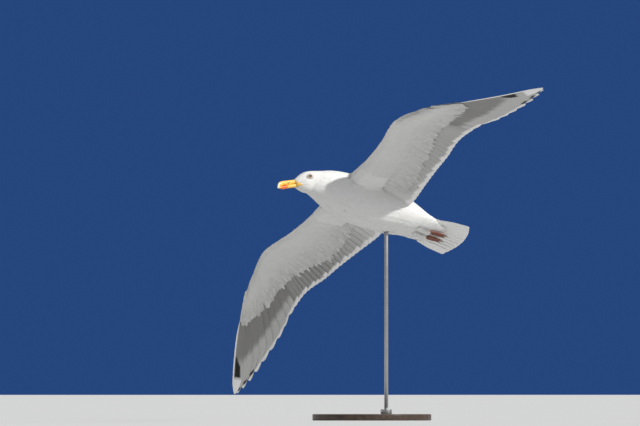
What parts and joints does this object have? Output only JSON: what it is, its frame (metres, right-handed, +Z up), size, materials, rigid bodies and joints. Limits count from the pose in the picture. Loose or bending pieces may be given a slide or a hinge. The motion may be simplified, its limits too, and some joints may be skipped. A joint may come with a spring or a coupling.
{
  "type": "herring gull",
  "caption": "Life-size herring gull in a banked glide with both wings spread and feet laid back, held by one rod on a plain round display stand.",
  "frame": {"origin": "centre of the underside of the stand's round base", "axes": "+Z is up; the gull heads along -Y with its bill towards -Y, its left wing on the +X side raised and its right wing on the -X side lowered"},
  "size_m": [1.0482, 0.57, 0.8321],
  "materials": {
    "plumage": "soft matte white feathers, pale blue-grey over the back and wings",
    "flight_feathers": "smooth satin grey vanes with white tips and black outer primaries",
    "bill": "satin yellow horn with an orange-red spot",
    "eye": "wet gloss, pale yellow iris",
    "leg_skin": "dull reddish-brown scaled skin",
    "claw": "satin black horn",
    "stand_base": "dark stained wood, satin",
    "stand_steel": "fine brushed steel"
  },
  "bodies": {
    "root": {"trunk": "plumage", "neck": "plumage", "head": "plumage", "wing_left_arm": "plumage", "wing_left_hand": "plumage", "wing_left_secondaries": "flight_feathers", "wing_left_primaries": "flight_feathers", "eye_left": "eye", "leg_left": "leg_skin", "foot_left": "leg_skin", "claw_left_1": "claw", "claw_left_2": "claw", "claw_left_3": "claw", "wing_right_arm": "plumage", "wing_right_hand": "plumage", "wing_right_secondaries": "flight_feathers", "wing_right_primaries": "flight_feathers", "eye_right": "eye", "leg_right": "leg_skin", "foot_right": "leg_skin", "claw_right_1": "claw", "claw_right_2": "claw", "claw_right_3": "claw", "tail": "flight_feathers", "bill_upper": "bill", "bill_lower": "bill", "stand_base": "stand_base", "stand_rod": "stand_steel", "stand_collar": "stand_steel"}
  },
  "joints": []
}
